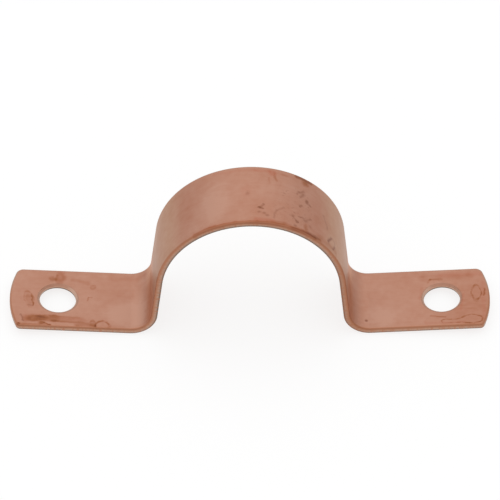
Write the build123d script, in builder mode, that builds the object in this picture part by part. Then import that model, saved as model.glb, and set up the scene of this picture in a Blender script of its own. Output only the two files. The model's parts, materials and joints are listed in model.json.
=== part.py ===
"""Two-hole copper saddle clip for pipe: one strip, punched, rounded at its ends and folded over a former.

Frame: millimetres, +Z up. X runs from foot to foot and Y along the pipe. The origin is midway between
the feet, on the surface that the two foot bends rest on.
"""

import os
from math import cos, radians, sin, sqrt

from build123d import *

# Strip
strip_width = 12.7
strip_thickness = 1.0
edge_radius = 0.35  # rounded edge all round the blank

# Saddle, seen along the pipe
pipe_diameter = 28.0
leg_length = 7.4  # straight run from the arch to the foot bend
leg_splay = 6.2  # degrees that each leg leans out from upright
bend_radius = 3.2  # inside of the foot bend
foot_rise = 3.4  # degrees that each foot tips up towards its end

# Feet, seen from above
foot_length = 19.1  # flat of the foot, from its bend to the middle of its rounded end
end_radius = 16.4
corner_radius = 0.9
hole_diameter = 5.8
hole_from_end = 7.65
rim_chamfer = 0.3  # both rims of each hole

# The underside of the strip is the line that everything is measured along
pipe_radius = pipe_diameter / 2
bend_outer_radius = bend_radius + strip_thickness
splay = radians(leg_splay)
rise = radians(foot_rise)
pipe_axis_height = (
    bend_outer_radius + leg_length * cos(splay) - (pipe_radius + bend_outer_radius) * sin(splay)
)
end_bulge = end_radius - sqrt(end_radius**2 - (strip_width / 2) ** 2)

side_view = Plane(origin=(0, 0, pipe_axis_height), x_dir=(1, 0, 0), z_dir=(0, -1, 0))


def is_corner(edge):
    """True where two faces meet at an angle, and not where one runs smoothly into the next."""
    middle = edge @ 0.5
    normals = [face.normal_at(middle) for face in clip.faces() if edge in face.edges()]
    return normals[0].get_angle(normals[-1]) > 1


with BuildPart() as clip:
    # Right half of the arch, with its leg and foot bend: the underside is drawn, then thickened outwards
    with BuildSketch(side_view):
        with BuildLine():
            arch = CenterArc((0, 0), pipe_radius, 90, leg_splay - 90)
            leg = PolarLine(arch @ 1, leg_length, leg_splay - 90)
            bend = JernArc(leg @ 1, leg % 1, bend_outer_radius, 90 - leg_splay + foot_rise)
            offset(amount=strip_thickness, side=Side.LEFT)
        make_face()
    extrude(amount=strip_width / 2, both=True)

    # Right foot: the flat end of the blank, which runs on from the underside of the bend
    bend_end = side_view.from_local_coords(bend @ 1)
    foot_plane = Plane(bend_end, x_dir=(cos(rise), 0, sin(rise)), z_dir=(-sin(rise), 0, cos(rise)))
    with BuildSketch(foot_plane) as foot:
        with BuildLine():
            near_side = Line((0, -strip_width / 2), (foot_length - end_bulge, -strip_width / 2))
            end = ThreePointArc(near_side @ 1, (foot_length, 0), (foot_length - end_bulge, strip_width / 2))
            Polyline(end @ 1, (0, strip_width / 2), near_side @ 0)
        make_face()
        fillet(foot.vertices().group_by(Axis.X)[-1], corner_radius)
        with Locations((foot_length - hole_from_end, 0)):
            Circle(hole_diameter / 2, mode=Mode.SUBTRACT)
    extrude(amount=strip_thickness)

    # The left half is its mirror image. The hole rims, which are the closed edges, are broken with a
    # chamfer, and the strip's own edges are tumbled round
    mirror(about=Plane.YZ)
    chamfer(clip.edges().filter_by(Edge.is_closed), rim_chamfer)
    fillet(clip.edges().filter_by(Edge.is_closed, reverse=True).filter_by(is_corner), edge_radius)

clip.part.label = "pipe_clip"

os.makedirs("parts", exist_ok=True)
export_step(clip.part, "parts/pipe_clip.step")
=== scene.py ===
# %% [markdown]
# # A copper pipe clip
# The clip is one strip of copper. A press cut it from rolled stock, punched two screw holes in it
# and folded it over a round former, so it has no joints and no second piece. This lesson makes the
# strip in the same order: cut it flat, round its edges, press it to shape, then give it the colour,
# rolling grain, sheared edges and handling stains of real copper, with some shade, highlight and
# reflection painted into that colour.

# %% Load the imported model
import json
from math import atan2, cos, hypot, pi, radians, sin, sqrt

import bmesh
import bpy
from mathutils import Matrix, Vector


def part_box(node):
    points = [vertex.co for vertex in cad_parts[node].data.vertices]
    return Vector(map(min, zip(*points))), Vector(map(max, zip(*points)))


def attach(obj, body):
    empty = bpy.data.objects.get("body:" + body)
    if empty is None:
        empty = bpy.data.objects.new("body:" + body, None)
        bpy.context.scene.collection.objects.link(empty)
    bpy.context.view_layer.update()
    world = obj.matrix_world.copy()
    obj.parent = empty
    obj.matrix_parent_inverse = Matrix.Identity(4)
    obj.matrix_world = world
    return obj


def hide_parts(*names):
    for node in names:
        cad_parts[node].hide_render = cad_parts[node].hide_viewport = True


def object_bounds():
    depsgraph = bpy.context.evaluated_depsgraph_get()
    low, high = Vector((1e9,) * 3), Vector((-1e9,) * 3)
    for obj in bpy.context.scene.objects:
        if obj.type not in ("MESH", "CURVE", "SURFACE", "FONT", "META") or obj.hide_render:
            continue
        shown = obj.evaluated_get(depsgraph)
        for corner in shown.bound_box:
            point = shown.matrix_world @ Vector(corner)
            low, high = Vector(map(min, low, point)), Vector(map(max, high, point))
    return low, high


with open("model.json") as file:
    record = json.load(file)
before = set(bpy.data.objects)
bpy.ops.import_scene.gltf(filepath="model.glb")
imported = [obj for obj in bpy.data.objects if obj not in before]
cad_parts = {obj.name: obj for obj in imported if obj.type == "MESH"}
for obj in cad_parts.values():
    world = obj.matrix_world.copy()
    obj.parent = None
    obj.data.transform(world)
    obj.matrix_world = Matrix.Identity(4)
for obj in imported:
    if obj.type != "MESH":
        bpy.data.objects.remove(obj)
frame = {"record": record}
cad_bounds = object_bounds()
print("CAD box in metres:", [[round(c, 5) for c in corner] for corner in cad_bounds])

# %% [markdown]
# # Sizes
# The CAD model already knows how large the clip is, so its sizes are read from there and not typed
# again. The mounts give the pipe's radius and axis, and each screw hole's radius, place and tilt.
# The node's box gives the strip's width and thickness. Only the few sizes that no mount states are
# written here. The mesh is made in millimetres, because the numbers are easy to read, and scaled to
# metres at the end.

# %% Sizes from the frame
MM = 0.001
mounts = {mount["name"]: mount for mount in frame["record"]["mounts"]}
low, high = (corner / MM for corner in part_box("pipe_clip"))

pipe_radius = mounts["pipe_seat"]["dims"]["r_mm"]
pipe_axis_height = mounts["pipe_seat"]["pos_m"][2] / MM
strip_width = high.y - low.y
strip_thickness = round(high.z - pipe_axis_height - pipe_radius, 2)  # the CAD mesh has small facets
hole_radius = mounts["screw_hole_right"]["dims"]["r_mm"]
hole_axis = mounts["screw_hole_right"]["axis"]
foot_rise = atan2(-hole_axis[0], hole_axis[2])

leg_splay = radians(6.2)
bend_radius = 3.2 + strip_thickness  # measured on the underside, which is the outside of the bend
end_radius = 16.4
front_corner = 0.5  # how far the corners of a foot's end are cut back
back_corner = 0.8
upper_round = 0.36
lower_round = 0.18
hole_chamfer = 0.3
print(f"strip {strip_width:.2f} wide, {strip_thickness:.2f} thick, over a {2 * pipe_radius:.1f} mm pipe")

# %% [markdown]
# # The line of the fold
# Seen along the pipe, the underside of the strip is an arc over the pipe, a straight leg, a small
# arc the other way and a straight foot. Each stretch starts where the last one ends and in the same
# direction, so the lengths along the strip follow from the sizes above. A pressing keeps the length
# of its middle line, near enough, so a place on the flat blank has one place on the folded clip.

# %% Lengths along the strip
arch_angle = pi / 2 - leg_splay
arch_out = Vector((sin(arch_angle), cos(arch_angle)))
leg_down = Vector((cos(arch_angle), -sin(arch_angle)))
foot_along = Vector((cos(foot_rise), sin(foot_rise)))
foot_up = Vector((-sin(foot_rise), cos(foot_rise)))
bend_angle = pi / 2 - leg_splay + foot_rise

drop = pipe_axis_height - bend_radius + (pipe_radius + bend_radius) * sin(leg_splay)
leg_length = drop / cos(leg_splay)
pipe_axis = Vector((0, pipe_axis_height))
bend_centre = pipe_axis + (pipe_radius + bend_radius) * arch_out + leg_length * leg_down
foot_start = bend_centre - bend_radius * foot_up

leg_at = pipe_radius * arch_angle
bend_at = leg_at + leg_length
foot_at = bend_at + bend_radius * bend_angle
foot_length = (high.x + lower_round * sin(foot_rise) - foot_start.x) / cos(foot_rise)
strip_end = foot_at + foot_length
hole_place = Vector((mounts["screw_hole_right"]["pos_m"][0], mounts["screw_hole_right"]["pos_m"][2])) / MM
hole_at = foot_at + (hole_place - foot_start).dot(foot_along)
print(f"flat blank {2 * strip_end:.2f} mm long, holes {2 * hole_at:.2f} mm apart")

# %% [markdown]
# # The blank
# The blank is a flat bar with bowed ends and two round holes. One face can't have a hole in it, so
# each foot is made as a ring of faces: its outline is one loop of edges, the hole is another, and
# bridging fills the space between them. The outline starts as a single square. Its outer edge is
# divided and pulled into an arc, and the two corners there are rounded by a vertex bevel, the front
# one less than the back one. A bevel can't reach past the edges that meet at its corner, so the arc is
# divided no more finely than the larger cut. The other foot is a mirror image, and bridging the two
# feet makes the run between them. X goes along the strip, Y across it and Z through it.

# %% Cut the feet, punch the holes and join them
END_CUTS = 13
SIDE_CUTS = 11
ROUND_SEGMENTS = 6
NEAR = 0.001  # closer than this counts as the same place
foot_from = hole_at - strip_width / 2
strip = bmesh.new()
bmesh.ops.create_grid(strip, x_segments=1, y_segments=1, size=0.5)
bmesh.ops.scale(strip, vec=(strip_end - foot_from, strip_width, 1), verts=strip.verts)
bmesh.ops.translate(strip, vec=((strip_end + foot_from) / 2, 0, 0), verts=strip.verts)
end_edge = [edge for edge in strip.edges if all(vert.co.x > hole_at for vert in edge.verts)]
bmesh.ops.subdivide_edges(strip, edges=end_edge, cuts=END_CUTS)
end_verts = [vert for vert in strip.verts if vert.co.x > hole_at]
for vert in end_verts:
    vert.co.x -= end_radius - sqrt(end_radius**2 - vert.co.y**2)
for corner in [vert for vert in end_verts if abs(vert.co.y) > strip_width / 2 - NEAR]:
    bmesh.ops.bevel(
        strip,
        geom=[corner],
        offset=back_corner if corner.co.y > 0 else front_corner,
        affect="VERTICES",
        segments=ROUND_SEGMENTS,
        profile=0.5,
        material=-1,
    )
bmesh.ops.delete(strip, geom=strip.faces[:], context="FACES_ONLY")
straight_edges = [edge for edge in strip.edges if edge.calc_length() > strip_width / 4]
bmesh.ops.subdivide_edges(strip, edges=straight_edges, cuts=SIDE_CUTS)
outline_count = len(strip.edges)
hole_centre = Matrix.Translation((hole_at, 0, 0))
bmesh.ops.create_circle(strip, cap_ends=False, radius=hole_radius, segments=outline_count, matrix=hole_centre)
bmesh.ops.bridge_loops(strip, edges=strip.edges[:])
bmesh.ops.mirror(strip, geom=strip.verts[:] + strip.edges[:] + strip.faces[:], merge_dist=NEAR, axis="X")
inner_edges = [edge for edge in strip.edges if all(abs(vert.co.x) < foot_from + NEAR for vert in edge.verts)]
bmesh.ops.bridge_loops(strip, edges=inner_edges)
bmesh.ops.recalc_face_normals(strip, faces=strip.faces)
print("blank:", len(strip.faces), "faces,", round(sum(face.calc_area() for face in strip.faces)), "square mm")

# %% [markdown]
# # Thickness and rounded edges
# The blank is extruded to its thickness, and then its corners are bevelled. The press drew the outer
# upper rim well over and left the lower one almost sharp, and both rims of each hole were broken with
# a small chamfer, so the rims are picked out by their height and by their distance from a hole. A
# bevel with many segments is round and one with a single segment is a chamfer, whose edges are marked
# sharp. A bevel alone would bend the shading of the whole flat, because a smooth face takes its
# shading from its corners. One narrow inset inside each flat keeps the rest of it level.

# %% Extrude the wall and round the rims
FLAT_MARGIN = 0.25
SHARPEST_SMOOTH = radians(30)
extruded = bmesh.ops.extrude_face_region(strip, geom=strip.faces[:])
raised = [part for part in extruded["geom"] if isinstance(part, bmesh.types.BMVert)]
bmesh.ops.translate(strip, vec=(0, 0, strip_thickness), verts=raised)
bmesh.ops.recalc_face_normals(strip, faces=strip.faces)


def rim_edges(height, punched):
    """The corner edges at a height: round the holes if punched, or else round the outside."""
    found = []
    for edge in strip.edges:
        level = all(abs(vert.co.z - height) < NEAR for vert in edge.verts)
        off_axis = max(hypot(abs(vert.co.x) - hole_at, vert.co.y) for vert in edge.verts)
        if level and edge.calc_face_angle() > 1 and punched == (off_axis < hole_radius + NEAR):
            found.append(edge)
    return found


for height, punched, size, segments in (
    (0, False, lower_round, ROUND_SEGMENTS),
    (0, True, hole_chamfer, 1),
    (strip_thickness, False, upper_round, ROUND_SEGMENTS),
    (strip_thickness, True, hole_chamfer, 1),
):
    bmesh.ops.bevel(
        strip,
        geom=rim_edges(height, punched),
        offset=size,
        affect="EDGES",
        segments=segments,
        profile=0.5,
        material=-1,
    )
for edge in strip.edges:
    edge.smooth = edge.calc_face_angle() < SHARPEST_SMOOTH
for side in (-1, 1):
    flat_faces = [face for face in strip.faces if face.normal.z * side > 0.999]
    bmesh.ops.inset_region(strip, faces=flat_faces, thickness=FLAT_MARGIN, use_even_offset=True)
print("rounded strip:", len(strip.faces), "faces")

# %% [markdown]
# # The press
# A flat face can only fold where it has edges, so the strip is first sliced across wherever it is
# going to curve: finely over the arch, and more finely in the tight bends. Then each vertex moves
# from its place on the blank to its place on the clip. Before it moves, the blank's own coordinates
# are stored in an attribute. The finish reads them later, so that the rolling grain and the stains
# follow the strip round its folds as they do on the real one.

# %% Slice the strip and fold it
def pressed(place):
    """A point of the flat blank, in the place where the press puts it."""
    along, above = abs(place.x), place.z
    if along < leg_at:
        angle = along / pipe_radius
        point = pipe_axis + (pipe_radius + above) * Vector((sin(angle), cos(angle)))
    elif along < bend_at:
        point = pipe_axis + (pipe_radius + above) * arch_out + (along - leg_at) * leg_down
    elif along < foot_at:
        angle = leg_splay + (along - bend_at) / bend_radius
        point = bend_centre - (bend_radius - above) * Vector((cos(angle), sin(angle)))
    else:
        point = foot_start + (along - foot_at) * foot_along + above * foot_up
    return Vector((point.x if place.x > 0 else -point.x, place.y, point.y))


ARCH_SLICES = 40
BEND_SLICES = 24
arch_cuts = [leg_at * step / ARCH_SLICES for step in range(ARCH_SLICES + 1)]
bend_cuts = [bend_at + (foot_at - bend_at) * step / BEND_SLICES for step in range(BEND_SLICES + 1)]
for cut in sorted({side * cut for cut in arch_cuts + bend_cuts for side in (-1, 1)}):
    everything = strip.verts[:] + strip.edges[:] + strip.faces[:]
    bmesh.ops.bisect_plane(strip, geom=everything, dist=1e-5, plane_co=(cut, 0, 0), plane_no=(1, 0, 0))

flat_layer = strip.verts.layers.float_vector.new("flat")
for vert in strip.verts:
    vert[flat_layer] = vert.co
    vert.co = pressed(vert.co)
bmesh.ops.scale(strip, vec=(MM, MM, MM), verts=strip.verts)
bmesh.ops.recalc_face_normals(strip, faces=strip.faces)
for face in strip.faces:
    face.smooth = True

clip_mesh = bpy.data.meshes.new("copper_strip")
strip.to_mesh(clip_mesh)
strip.free()
clip = bpy.data.objects.new("copper_strip", clip_mesh)
bpy.context.scene.collection.objects.link(clip)
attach(clip, "root")
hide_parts("pipe_clip")
print("folded clip:", sum(len(face.vertices) - 2 for face in clip_mesh.polygons), "triangles")

# %% [markdown]
# # Wiring nodes
# A finish is a web of small nodes, and wiring them by hand takes many lines. This helper keeps one
# node tree and has one short method for each kind of node, so that a formula on the strip reads
# almost like a formula on paper. A value that arrives as a socket is linked, and a plain number is
# set on the node.

# %% A short way to wire nodes
class NodeWeb:
    """The node tree of a material or world, with a short method for each kind of node it needs."""

    def __init__(self, owner):
        owner.use_nodes = True
        self.tree = owner.node_tree
        self.tree.nodes.clear()

    def node(self, kind, inputs, **settings):
        made = self.tree.nodes.new("ShaderNode" + kind)
        for name, value in settings.items():
            setattr(made, name, value)
        for name, value in inputs.items():
            if isinstance(value, bpy.types.NodeSocket):
                self.tree.links.new(value, made.inputs[name])
            else:
                made.inputs[name].default_value = value
        return made

    def maths(self, operation, *values):
        return self.node("Math", dict(enumerate(values)), operation=operation).outputs[0]

    def vector(self, operation, *values):
        return self.node("VectorMath", dict(enumerate(values)), operation=operation).outputs[0]

    def ease(self, value, low, high):
        """0 up to low, 1 from high on, and a smooth step between them; low may be above high."""
        inputs = {"Value": value, "From Min": low, "From Max": high}
        return self.node("MapRange", inputs, interpolation_type="SMOOTHSTEP").outputs[0]

    def noise(self, place, scale, detail=3):
        return self.node("TexNoise", {"Vector": place, "Scale": scale, "Detail": detail})

    def mix(self, amount, first, second):
        made = self.node("Mix", {0: amount, 6: first, 7: second}, data_type="RGBA", clamp_factor=True)
        return made.outputs[2]

    def ramp(self, value, stops):
        """A colour that runs through the stops, each a position from 0 to 1 and a colour."""
        made = self.node("ValToRGB", {"Fac": value})
        elements = made.color_ramp.elements
        while len(elements) < len(stops):
            elements.new(1)
        for element, (position, colour) in zip(elements, stops):
            element.position = position
            element.color = (*colour, 1)
        return made.outputs["Color"]


copper_material = bpy.data.materials.new("rolled_copper")
clip_mesh.materials.append(copper_material)
copper = NodeWeb(copper_material)
flat = copper.node("Attribute", {}, attribute_name="flat").outputs["Vector"]
along, across, height = copper.node("SeparateXYZ", {"Vector": flat}).outputs
through = copper.maths("DIVIDE", height, strip_thickness)
print("copper reads the blank's coordinates from the attribute", clip_mesh.attributes["flat"].name)

# %% [markdown]
# # Tarnish
# Copper leaves the rolls pink and turns orange, then brown, as its oxide grows. So the colour of the
# whole clip can be one number, the tarnish, read off a ramp of four coppers. The number starts as
# soft clouds some 8 mm across, a finer mottle, and streaks that the rolls drew along the strip. The
# same number later makes the brown places less shiny.

# %% Clouds, mottle and rolling streaks
clouds = copper.noise(flat, 0.13, detail=2).outputs[0]
mottle = copper.noise(flat, 0.9, detail=5).outputs[0]
rolled = copper.vector("MULTIPLY", flat, (0.05, 2.6, 1))
streaks = copper.noise(rolled, 1, detail=4).outputs[0]
tarnish_and_painted_light = copper.maths("MULTIPLY_ADD", clouds, 0.6, -0.37)
tarnish_and_painted_light = copper.maths("MULTIPLY_ADD", mottle, 0.45, tarnish_and_painted_light)
tarnish_and_painted_light = copper.maths("MULTIPLY_ADD", streaks, 0.2, tarnish_and_painted_light)
print("bare tarnish:", len(copper.tree.nodes), "nodes")

# %% [markdown]
# # Drawing on the strip
# Fingers, water and flux left their own marks, and they are what makes this clip one clip. They are
# drawn one by one, in millimetres along and across the flat strip. Each starts from a distance: how far a
# point lies outside an oval or a straight bar, with less than nothing inside. A spot is where the
# distance is below zero, and a drop that dried is where it is close to zero, because only its outline
# is left. A slanting mark turns the coordinates about its own middle. All marks are read from wobbled
# coordinates, so that no edge is a clean curve, and each is added to the total of its kind.

# %% Ovals, bars, spots and outlines
coarse = copper.vector("SUBTRACT", copper.noise(flat, 0.8, detail=3).outputs[1], (0.5, 0.5, 0.5))
fine = copper.vector("SUBTRACT", copper.noise(flat, 2.8, detail=2).outputs[1], (0.5, 0.5, 0.5))
handled = copper.vector("MULTIPLY_ADD", coarse, (0.6, 0.6, 0), flat)
handled = copper.vector("MULTIPLY_ADD", fine, (0.22, 0.22, 0), handled)
patches = copper.noise(flat, 1.5, detail=4).outputs[0]
broken = copper.maths("MULTIPLY_ADD", copper.ease(patches, 0.38, 0.56), 0.6, 0.4)


def seen_from(at, turn, scale=(1, 1)):
    """The strip's coordinates as seen from a place on it, turned and scaled."""
    place = handled
    if turn:
        inputs = {"Vector": handled, "Center": (*at, 0), "Angle": radians(-turn)}
        place = copper.node("VectorRotate", inputs, rotation_type="Z_AXIS").outputs[0]
    share = (1 / scale[0], 1 / scale[1], 0)
    return copper.vector("MULTIPLY_ADD", place, share, (-at[0] * share[0], -at[1] * share[1], 0))


def oval(at, size, turn=0):
    """Distance from an oval, whose size is its two half widths."""
    reach = copper.node("VectorMath", {0: seen_from(at, turn, size)}, operation="LENGTH").outputs["Value"]
    return copper.maths("MULTIPLY_ADD", reach, min(size), -min(size))


def bar(at, half_length, half_width, turn=0):
    """Distance from a straight bar with round ends."""
    offset = copper.vector("ABSOLUTE", seen_from(at, turn))
    beyond = copper.vector("MAXIMUM", copper.vector("SUBTRACT", offset, (half_length, 0, 0)), (0, 0, 0))
    reach = copper.node("VectorMath", {0: beyond}, operation="LENGTH").outputs["Value"]
    return copper.maths("SUBTRACT", reach, half_width)


class Marks:
    """All marks of one kind, added up as they are drawn."""

    def __init__(self):
        self.total = 0.0
        self.count = 0

    def add(self, shape, strength):
        self.total = copper.maths("MULTIPLY_ADD", shape, strength, self.total)
        self.count += 1

    def spot(self, distance, strength, soft=0.2):
        """A filled mark that fades inwards from its edge over a soft width."""
        self.add(copper.ease(distance, 0, -soft), strength)

    def outline(self, distance, strength, width=0.16):
        """A broken line along the edge of a mark."""
        line = copper.ease(copper.maths("ABSOLUTE", distance), width, 0)
        self.add(copper.maths("MULTIPLY", line, broken), strength)


print("ready to draw:", len(copper.tree.nodes), "nodes")

# %% [markdown]
# # Brown films
# Where the metal stayed wet or greasy it grew a thicker film of oxide. The left foot has a long smear
# along its front edge, and each foot has outlines of drops that dried there. A film changes the tarnish
# and nothing else, so it takes its colour from the same ramp. A negative strength makes a cleaner place.
# Three soft marks on the arch are drawn the same way but are painted light: a long dark band on each
# flank is painted shade, and a cleaner place on the crown is a painted highlight.

# %% Films on the feet and the arch
films_and_painted_light = Marks()

# Left foot, along the front
films_and_painted_light.spot(bar((-47.9, -4.6), 1.7, 1.1), 0.42, soft=0.7)
films_and_painted_light.spot(oval((-48.4, -4.6), (1.6, 0.9)), 0.27, soft=0.7)
films_and_painted_light.spot(bar((-46.0, -4.65), 4.2, 0.95), 0.28, soft=0.7)
films_and_painted_light.spot(bar((-44.7, -4.15), 2.3, 0.32, turn=-4), 0.25, soft=0.3)
films_and_painted_light.spot(bar((-43.8, -5.25), 2.8, 0.38, turn=-2), 0.3, soft=0.35)
films_and_painted_light.spot(oval((-50.7, -4.8), (1.0, 1.2)), 0.4, soft=0.8)
films_and_painted_light.spot(bar((-49.4, -6.0), 2.5, 0.36), 0.45, soft=0.3)
films_and_painted_light.spot(bar((-41.3, -5.8), 1.5, 0.55), 0.5, soft=0.5)
films_and_painted_light.spot(oval((-48.2, -5.62), (0.8, 0.36)), 0.85, soft=0.25)
films_and_painted_light.spot(bar((-47.4, -5.8), 0.5, 0.26, turn=-25), 0.6, soft=0.25)
films_and_painted_light.spot(oval((-40.2, -5.5), (0.5, 0.8)), 0.3)
films_and_painted_light.outline(oval((-40.2, -5.5), (0.5, 0.8)), 0.4, width=0.25)
films_and_painted_light.outline(oval((-38.6, -5.75), (1.05, 0.95)), 0.65, width=0.32)
films_and_painted_light.spot(oval((-52.0, -6.0), (0.5, 0.4)), 1.0, soft=0.3)

# Left foot, round the hole and on its end
films_and_painted_light.spot(bar((-45.4, 4.5), 1.0, 0.85, turn=88), 0.32, soft=0.6)
films_and_painted_light.spot(bar((-45.95, 4.5), 0.6, 0.35, turn=80), 0.35, soft=0.3)
films_and_painted_light.spot(oval((-46.7, 4.2), (0.8, 0.9)), 0.38, soft=0.5)
films_and_painted_light.spot(oval((-44.8, 4.7), (0.7, 0.9)), 0.25, soft=0.5)
films_and_painted_light.spot(bar((-42.2, 3.9), 1.2, 0.6, turn=-14), 0.25, soft=0.5)
films_and_painted_light.spot(oval((-40.2, 2.8), (0.5, 0.55)), 0.2, soft=0.3)
films_and_painted_light.outline(oval((-40.2, 2.75), (0.4, 0.5)), 0.3, width=0.25)
films_and_painted_light.spot(bar((-41.0, 0.0), 0.4, 0.22, turn=80), 0.35)
films_and_painted_light.spot(bar((-40.6, 0.35), 0.25, 0.2), 0.3)
films_and_painted_light.spot(oval((-50.3, -0.4), (0.75, 1.75), turn=12), 0.3, soft=0.35)
films_and_painted_light.outline(oval((-50.3, -0.4), (0.75, 1.75), turn=12), 0.35, width=0.18)
films_and_painted_light.spot(bar((-49.75, -0.6), 1.3, 0.22, turn=-80), 0.55)

# Left foot, near the bend: cleaner in front, browner behind
films_and_painted_light.spot(oval((-34.0, -3.2), (5.5, 4.5)), -0.35, soft=3)
films_and_painted_light.spot(bar((-34.0, 4.9), 3.0, 1.2), 0.15, soft=1.1)

# Arch
films_and_painted_light.spot(bar((0.5, -6.2), 9.5, 0.55), 0.65, soft=0.4)
films_and_painted_light.spot(bar((4.3, -5.7), 1.4, 0.45), 0.4, soft=0.45)
films_and_painted_light.spot(bar((8.6, -5.9), 2.4, 0.6, turn=3), 0.45, soft=0.5)
films_and_painted_light.spot(oval((8.35, -4.8), (0.6, 1.2)), 0.5, soft=0.5)
films_and_painted_light.spot(bar((8.3, 5.8), 1.3, 0.55), 0.6, soft=0.45)
films_and_painted_light.spot(oval((8.5, 4.9), (0.9, 0.85)), 0.6, soft=0.7)
films_and_painted_light.spot(oval((5.0, 5.2), (0.9, 0.4)), 0.35, soft=0.35)
films_and_painted_light.spot(bar((3.6, 4.4), 0.8, 0.4, turn=-80), 0.35, soft=0.4)
films_and_painted_light.spot(bar((2.7, 3.4), 0.6, 0.3, turn=-85), 0.2, soft=0.3)
# Painted shade: a long dark band on each flank of the arch, standing in for a dark reflection.
films_and_painted_light.spot(oval((-10.8, -0.8), (2.4, 8.5)), 0.22, soft=1.8)
films_and_painted_light.spot(oval((10.8, 1.0), (1.6, 8.0)), 0.08, soft=1.4)
# Painted highlight: a lighter place on the crown.
films_and_painted_light.spot(oval((-5.5, 0.0), (3.2, 7.0)), -0.25, soft=2.5)
films_and_painted_light.spot(bar((13.0, -5.2), 2.0, 1.0), 0.3, soft=0.9)

# Right foot
films_and_painted_light.spot(oval((50.0, -1.0), (7.0, 8.0)), 0.3, soft=6)
films_and_painted_light.spot(bar((46.5, 4.6), 3.5, 1.3), 0.2, soft=1.2)
films_and_painted_light.spot(oval((35.5, -4.0), (3.5, 3.2)), -0.2, soft=2)
films_and_painted_light.spot(bar((52.5, 0.85), 0.8, 0.28, turn=82), 0.6, soft=0.28)
films_and_painted_light.outline(oval((51.2, 0.75), (0.75, 1.65)), 0.62, width=0.22)
films_and_painted_light.spot(bar((44.9, 4.05), 0.9, 0.4), 0.32, soft=0.35)
films_and_painted_light.spot(bar((43.85, 3.75), 0.4, 0.34, turn=65), 0.32, soft=0.3)
films_and_painted_light.spot(bar((45.0, -4.2), 1.15, 0.24, turn=-9), 0.42)
ran_drop = copper.maths("SMOOTH_MIN", oval((50.35, -5.05), (1.7, 0.95)), bar((47.35, -5.3), 1.5, 0.36), 0.6)
films_and_painted_light.outline(ran_drop, 0.58, width=0.2)
print(films_and_painted_light.count, "films_and_painted_light")

# %% [markdown]
# # Specks
# The right of the arch has small specks of a dull dark brown, such as flux spatter leaves, and the feet
# have a few. Their colour isn't one of the ramp's, so they get a total of their own and are laid over the
# copper later. The larger ones are drawn one by one, and a noise adds stray ones among those on the arch.

# %% Specks on the arch and the feet
specks = Marks()

# Arch
specks.spot(bar((1.5, -2.5), 0.45, 0.32, turn=52), 0.5, soft=0.3)
specks.spot(bar((1.35, -3.0), 0.3, 0.34, turn=-25), 0.6, soft=0.3)
specks.spot(oval((1.1, -3.9), (0.4, 0.4)), 0.5, soft=0.35)
specks.spot(oval((1.75, -4.1), (0.4, 0.45)), 0.5, soft=0.35)
specks.spot(oval((2.25, -4.5), (0.45, 0.4)), 0.5, soft=0.35)
specks.spot(bar((3.4, -4.0), 0.8, 0.3, turn=75), 0.3, soft=0.3)
specks.spot(oval((-0.6, 0.2), (0.55, 0.8)), 0.3, soft=0.5)
specks.spot(bar((7.6, -0.45), 0.3, 0.38, turn=40), 0.55, soft=0.35)
specks.spot(oval((8.7, 1.0), (0.5, 0.75)), 0.7, soft=0.4)
specks.spot(oval((9.2, 0.55), (0.42, 0.45)), 0.5, soft=0.4)
specks.spot(bar((7.9, 2.7), 0.45, 0.45, turn=45), 0.45, soft=0.4)
specks.spot(bar((7.95, 1.9), 0.45, 0.42, turn=50), 0.45, soft=0.4)
specks.spot(bar((7.15, 2.2), 0.35, 0.35, turn=60), 0.35, soft=0.35)
specks.spot(oval((6.2, -3.3), (0.45, 0.45)), 0.45, soft=0.4)
specks.spot(bar((6.45, -3.9), 0.3, 0.3, turn=-60), 0.35, soft=0.3)
specks.spot(oval((6.8, -4.45), (0.45, 0.45)), 0.6, soft=0.35)
specks.spot(bar((7.7, -2.95), 0.45, 0.34, turn=10), 0.45, soft=0.35)
specks.spot(oval((8.35, -3.4), (0.7, 0.6)), 0.4, soft=0.5)
specks.spot(bar((8.95, -2.7), 0.5, 0.34, turn=42), 0.4, soft=0.35)
specks.spot(bar((4.3, -2.6), 0.7, 0.26, turn=40), 0.25, soft=0.25)
specks.spot(oval((6.6, -5.4), (0.5, 0.4)), 0.5, soft=0.35)
specks.spot(oval((9.2, -4.2), (0.5, 0.6)), 0.3, soft=0.5)
specks.spot(bar((9.7, -5.75), 0.9, 0.45), 0.5, soft=0.45)
specks.spot(bar((8.3, 5.85), 1.2, 0.5), 0.8, soft=0.45)
specks.spot(bar((12.5, -0.7), 1.2, 0.36, turn=-68), 0.35, soft=0.36)
specks.spot(bar((13.4, -3.75), 0.7, 0.42, turn=58), 0.6, soft=0.4)
specks.spot(bar((14.5, -4.7), 0.6, 0.4, turn=62), 0.55, soft=0.4)
specks.outline(oval((14.0, -4.1), (0.8, 1.2), turn=-15), 0.3, width=0.35)

# Feet
specks.spot(bar((-51.4, -4.4), 0.5, 0.28, turn=-70), 0.5, soft=0.25)
specks.spot(oval((-51.2, -5.2), (0.34, 0.34)), 0.5, soft=0.25)
specks.spot(bar((-50.0, -1.8), 0.4, 0.2, turn=-15), 0.4)
specks.spot(oval((33.4, -4.6), (0.45, 0.4)), 0.75, soft=0.3)
stray = copper.ease(copper.noise(handled, 2.2, detail=2).outputs[0], 0.58, 0.74)
spattered = copper.ease(oval((6.5, -1.0), (4.5, 5.5)), 0, -2)
specks.add(copper.maths("MULTIPLY", stray, spattered), 0.35)
print(specks.count - 1, "drawn specks, and the stray ones")

# %% [markdown]
# # Flushes
# In some places, most of them along the rims and round the holes, the copper is redder. These flushes are
# soft, so each is a spot whose edge fades over most of its width.

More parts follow.
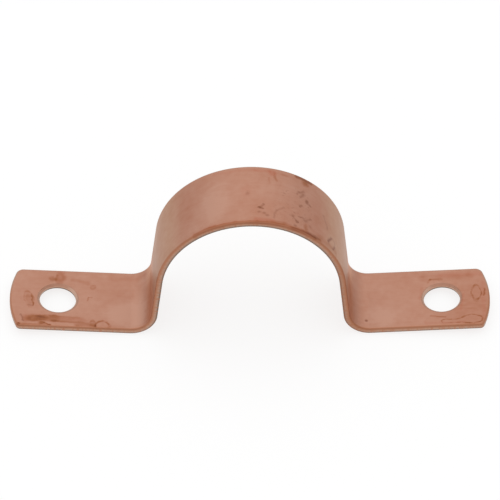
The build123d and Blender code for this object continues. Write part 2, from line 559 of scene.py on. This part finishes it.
# %% Flushes on the arch and the feet
flushes = Marks()
flushes.spot(bar((1.8, -5.5), 1.2, 0.6), 0.5, soft=0.55)
flushes.spot(bar((0.0, -6.1), 9.0, 0.9), 0.2, soft=0.8)
flushes.spot(oval((-0.8, 0.6), (1.2, 2.2)), 0.2, soft=0.9)
flushes.spot(bar((1.7, 5.4), 1.0, 0.5), 0.4, soft=0.45)
flushes.spot(oval((3.2, 5.1), (1.0, 0.95)), 0.5, soft=0.7)
flushes.spot(bar((-2.5, 5.4), 3.0, 0.5), 0.2, soft=0.45)
flushes.spot(bar((-45.2, 4.9), 0.9, 0.9, turn=85), 0.2, soft=0.7)
flushes.spot(bar((-43.8, -4.6), 1.6, 0.45), 0.2, soft=0.4)
flushes.spot(oval((-50.9, -4.6), (1.1, 1.2)), 0.2, soft=0.9)
flushes.spot(bar((42.4, 1.0), 1.2, 0.4, turn=80), 0.3, soft=0.4)
flushes.spot(bar((48.9, -1.2), 1.8, 0.4, turn=80), 0.35, soft=0.4)
flushes.spot(bar((49.0, 4.9), 3.2, 0.9), 0.3, soft=0.8)
flushes.spot(bar((52.3, -1.0), 4.0, 0.5, turn=90), 0.25, soft=0.4)
flushes.spot(bar((46.0, -5.6), 3.0, 0.4), 0.25, soft=0.3)
print(flushes.count, "flushes")

# %% [markdown]
# # The skin
# The films join the tarnish and the ramp turns it into copper. A patchy noise breaks the films up, and
# the height in the strip keeps all marks on the upper side, which is the one that was handled.

# %% Colour of the upper and lower skin
fresh_copper = (0.53, 0.291, 0.211)
warm_copper = (0.471, 0.22, 0.144)
brown_copper = (0.37, 0.14, 0.066)
dark_copper = (0.24, 0.08, 0.04)
red_copper = (0.46, 0.165, 0.1)
speck_brown = (0.262, 0.102, 0.058)

upper_side = copper.ease(through, 0.4, 0.8)
drawn_out = copper.vector("MULTIPLY", flat, (0.45, 1.8, 1))
breaks = copper.maths("MULTIPLY_ADD", copper.noise(drawn_out, 1, detail=4).outputs[0], 1.4, 0.3)
breaks = copper.maths("MULTIPLY", breaks, upper_side)
film_and_painted_light = copper.maths("MULTIPLY", films_and_painted_light.total, breaks)
flush = copper.maths("MULTIPLY", flushes.total, breaks)
speck = copper.maths("MULTIPLY", specks.total, breaks)
# With the films come the painted shade and the painted highlight on the arch.
tarnish_and_painted_light = copper.maths("ADD", tarnish_and_painted_light, film_and_painted_light)
skin = copper.ramp(
    copper.maths("DIVIDE", tarnish_and_painted_light, 1.5),
    [(0, fresh_copper), (0.33, warm_copper), (0.67, brown_copper), (1, dark_copper)],
)
print("skin:", len(copper.tree.nodes), "nodes")

# %% [markdown]
# # Sheared edges
# The press drew the outer rim over before it cut, so the rim is smooth. Its brown is painted shade,
# a dark reflection on the rounded rim. The wall below it was torn rather than cut: it is a dull tan with
# upright streaks in the same brown, and the dark line along its bottom is painted shade too. All of it
# follows the height through the strip, which the attribute already holds, so one ramp colours the
# whole edge. Masks then set places apart: films reach over the rim, the wall of the right leg is
# browner, the painted shade on the rim is paler and greyer at the back, and the painted shade along
# the bottom is heavier under the arch.

# %% Rim, wall and burr
# Painted shade: this dark brown lines the bottom of every edge, more so under the arch, and lies low on the
# hole walls. The dull ring round each hole takes the same brown.
shade_and_ring_brown = (0.24, 0.165, 0.125)
torn_wall = (0.5, 0.33, 0.25)
sheared_wall = (0.52, 0.3, 0.21)
# Painted shade: this brown on the rounded upper rim stands in for a dark reflection. The streaks on the wall
# use it too.
streak_and_rim_shade = (0.465, 0.208, 0.122)
# Painted shade on the rim, paler and greyer at the back.
back_rim_shade = (0.47, 0.31, 0.225)

outer_edge = copper.ramp(
    through,
    [(0.02, shade_and_ring_brown), (0.2, shade_and_ring_brown), (0.34, torn_wall), (0.54, sheared_wall), (0.8, streak_and_rim_shade), (0.95, streak_and_rim_shade)],
)
torn = copper.noise(copper.vector("MULTIPLY", flat, (2.2, 2.2, 0.3)), 1, detail=3).outputs[0]
right_leg = copper.maths("MULTIPLY", copper.ease(along, 10, 20), copper.ease(along, 36, 31))
back_rim_shade_share = copper.maths("MULTIPLY", copper.ease(across, 0, 4), copper.ease(through, 0.6, 0.85))
from_crown = copper.maths("ABSOLUTE", along)
# Painted shade: the dark line along the bottom of the edge is heavier under the arch.
arch_bottom_shade = copper.maths("MULTIPLY", copper.ease(from_crown, 20, 10), copper.ease(through, 0.55, 0.15))
for share, tint in (
    (copper.ease(torn, 0.4, 0.75), streak_and_rim_shade),
    (copper.maths("MULTIPLY", film_and_painted_light, 0.5), brown_copper),
    (copper.maths("MULTIPLY", right_leg, 0.4), brown_copper),
    (back_rim_shade_share, back_rim_shade),
    (copper.maths("MULTIPLY", arch_bottom_shade, 0.8), shade_and_ring_brown),
):
    outer_edge = copper.mix(share, outer_edge, (*tint, 1))
print("outer edge:", len(copper.tree.nodes), "nodes")

# %% [markdown]
# # Punched holes
# A punch leaves a crisper edge than a shear. The chamfers and the wall of each hole are paler than the
# outer edge. The wall's pale tan is a painted reflection of the white floor, palest at the two sides of
# the hole, and the dark line low down on it is painted shade. The distance from the middle of the hole
# tells this edge from the outer one. It also draws a dull ring on the skin round each hole, which is
# stronger in front.

# %% Wall, chamfer and ring of the holes
# Painted reflection: the pale hole wall and its paler sides stand in for the white floor reflected there.
hole_wall_reflection = (0.58, 0.34, 0.24)
hole_rim = (0.53, 0.275, 0.19)
hole_side_reflection = (0.64, 0.42, 0.32)

past_hole = copper.maths("SUBTRACT", from_crown, hole_at)
from_hole = copper.node("CombineXYZ", {"X": past_hole, "Y": across}).outputs[0]
hole_reach = copper.node("VectorMath", {0: from_hole}, operation="LENGTH").outputs["Value"]
beside = copper.maths("DIVIDE", copper.maths("ABSOLUTE", past_hole), hole_reach)
hole_edge = copper.ramp(through, [(0.4, hole_wall_reflection), (0.68, hole_wall_reflection), (0.72, hole_rim)])
hole_edge = copper.mix(copper.ease(beside, 0.35, 0.85), hole_edge, (*hole_side_reflection, 1))
hole_edge = copper.mix(copper.ease(through, 0.56, 0.44), hole_edge, (*shade_and_ring_brown, 1))
near_hole = copper.ease(hole_reach, hole_radius + 0.4, hole_radius + 0.2)
cut_edge = copper.mix(near_hole, outer_edge, hole_edge)
ring = copper.ease(hole_reach, hole_radius + 0.55, hole_radius + 0.35)
ring = copper.maths("MULTIPLY", ring, copper.maths("MULTIPLY_ADD", copper.ease(across, 1.5, -1.5), 0.3, 0.12))
print("holes:", len(copper.tree.nodes), "nodes")

# %% [markdown]
# # Flanks and bends
# The flanks of the arch are a little yellower than its crown, which is a painted reflection, and the
# insides of the bends a little warmer and lighter, which is painted light. Both are soft bands across
# the strip, so the distance from the crown makes a mask for each, and the skin is multiplied by a tint
# there. After that everything is laid on in order: the ring on the skin, the edge beside the skin, and
# the flushes and specks over both.

# %% Tint the skin and lay the colours together
# Painted reflection: the yellower flanks of the arch.
flank_reflection_tint = (0.955, 1.03, 0.95)
# Painted light: the warmer, lighter insides of the bends.
bend_light_tint = (1.16, 1.17, 1.06)

flank_reflection_mask = copper.maths("MULTIPLY", copper.ease(from_crown, 10, 15), copper.ease(from_crown, 27, 23))
skin = copper.mix(flank_reflection_mask, skin, copper.vector("MULTIPLY", skin, flank_reflection_tint))
bend_light_mask = copper.maths("MULTIPLY", copper.ease(from_crown, 24.5, 27), copper.ease(from_crown, 31, 29))
skin = copper.mix(bend_light_mask, skin, copper.vector("MULTIPLY", skin, bend_light_tint))
skin = copper.mix(ring, skin, (*shade_and_ring_brown, 1))
edge_share = copper.maths("MULTIPLY", copper.ease(through, 0, 0.03), copper.ease(through, 1, 0.95))
colour = copper.mix(edge_share, skin, cut_edge)
colour = copper.mix(flush, colour, (*red_copper, 1))
colour = copper.mix(speck, colour, (*speck_brown, 1))
print("colour:", len(copper.tree.nodes), "nodes")

# %% [markdown]
# # The metal
# Copper is a bare metal, so Metallic is 1 and the colour above is the colour of its reflections. Rolled
# strip is satin and not a mirror: its roughness is close to a half, and the tarnish makes it a little
# duller. The streaks and the mottle also drive a faint bump, which stands for the texture of the rolls.

# %% Copper shader
satin = 0.46
dulling = 0.1
roll_depth = 0.00004

roughness = copper.maths("MULTIPLY_ADD", tarnish_and_painted_light, dulling, satin)
relief = copper.maths("MULTIPLY_ADD", streaks, 0.6, copper.maths("MULTIPLY", mottle, 0.4))
bump = copper.node("Bump", {"Height": relief, "Strength": 0.15, "Distance": roll_depth})
shader = copper.node(
    "BsdfPrincipled",
    {"Base Color": colour, "Metallic": 1, "Roughness": roughness, "Normal": bump.outputs[0]},
)
copper.node("OutputMaterial", {"Surface": shader.outputs[0]})
print("copper finish:", len(copper.tree.nodes), "nodes")

# %% [markdown]
# # The floor
# The clip stands on white paper, just under its lowest point. Paper that was white in every way would
# throw much light up at the clip and wash out its legs and edges. So this floor scatters light as a
# grey one does, which also keeps the clip's shadow, and glows for the camera and in reflections alone,
# which makes it white to look at.

# %% Floor
half_side = 2
sunk = 0.00002
paper_grey = 0.22
paper_glow = 0.79

paper_bm = bmesh.new()
bmesh.ops.create_grid(paper_bm, x_segments=1, y_segments=1, size=half_side)
bmesh.ops.translate(paper_bm, vec=(0, 0, cad_bounds[0][2] - sunk), verts=paper_bm.verts)
paper_mesh = bpy.data.meshes.new("paper_floor")
paper_bm.to_mesh(paper_mesh)
paper_bm.free()
floor = bpy.data.objects.new("paper_floor", paper_mesh)
bpy.context.scene.collection.objects.link(floor)

paper_material = bpy.data.materials.new("white_paper")
paper_mesh.materials.append(paper_material)
paper = NodeWeb(paper_material)
rays = paper.node("LightPath", {})
in_view = paper.maths("MAXIMUM", rays.outputs["Is Camera Ray"], rays.outputs["Is Glossy Ray"])
in_view = paper.maths("MAXIMUM", in_view, rays.outputs["Is Transmission Ray"])
matt = paper.node("BsdfDiffuse", {"Color": (paper_grey, paper_grey, paper_grey, 1)})
glow = paper.node("Emission", {"Strength": paper.maths("MULTIPLY", in_view, paper_glow)})
both = paper.node("AddShader", {0: matt.outputs[0], 1: glow.outputs[0]})
paper.node("OutputMaterial", {"Surface": both.outputs[0]})
print("floor:", 2 * half_side, "m square")

# %% [markdown]
# # The light
# Small metal things are photographed in a tent of white cloth, because lamps would leave hard spots on
# them. The world is such a tent: its light changes smoothly with direction, brightest overhead, a
# little brighter behind the clip than in front, and almost the same on the left and the right. A dot
# product of the direction and one slanting vector gives that slope.

# %% World
tent_level = 0.65
tent_slope = (-0.04, 0.16, 0.49)

tent_world = bpy.data.worlds.new("tent")
bpy.context.scene.world = tent_world
tent = NodeWeb(tent_world)
direction = tent.node("TexCoord", {}).outputs["Generated"]
lean = tent.node("VectorMath", {0: direction, 1: tent_slope}, operation="DOT_PRODUCT").outputs["Value"]
sky = tent.node("Background", {"Color": (1, 1, 1, 1), "Strength": tent.maths("ADD", lean, tent_level)})
tent.node("OutputWorld", {"Surface": sky.outputs[0]})
print(f"tent: {tent_level + tent_slope[2]:.2f} overhead, {tent_level:.2f} at the level of the clip")

# %% [markdown]
# # The camera
# A product photograph is taken from far off with a long lens, so that near and far ends look the same
# size. The camera starts above the point that it aims at, looking straight down. Three turns then bring
# it to the photograph's angle: roll about its own axis, tilt towards the horizon and a small turn about
# the upright.

# %% Camera
lens = 411
aimed_at = (-0.0001, 0, 0.01232)
distance = 0.9
look_down = 44.54
turned = -1.28
rolled_by = 0.81

camera_data = bpy.data.cameras.new("camera")
camera_data.lens = lens
camera_data.sensor_width = 36
camera_data.clip_end = 20
camera = bpy.data.objects.new("camera", camera_data)
bpy.context.scene.collection.objects.link(camera)
aim = Matrix.Translation(aimed_at)
turn = Matrix.Rotation(radians(turned), 4, "Z")
tilt = Matrix.Rotation(radians(90 - look_down), 4, "X")
roll = Matrix.Rotation(radians(rolled_by), 4, "Z")
camera.matrix_world = aim @ turn @ tilt @ roll @ Matrix.Translation((0, 0, distance))
bpy.context.scene.camera = camera
print(f"camera: {lens} mm lens, {distance} m away, {look_down} degrees down")

# %% [markdown]
# # Finish
# The Standard view shows the colours as they were set, with no film look over them. The mesh has to
# stay in the solid's box.

# %% Finish
bpy.context.scene.view_settings.view_transform = "Standard"
bpy.context.view_layer.update()
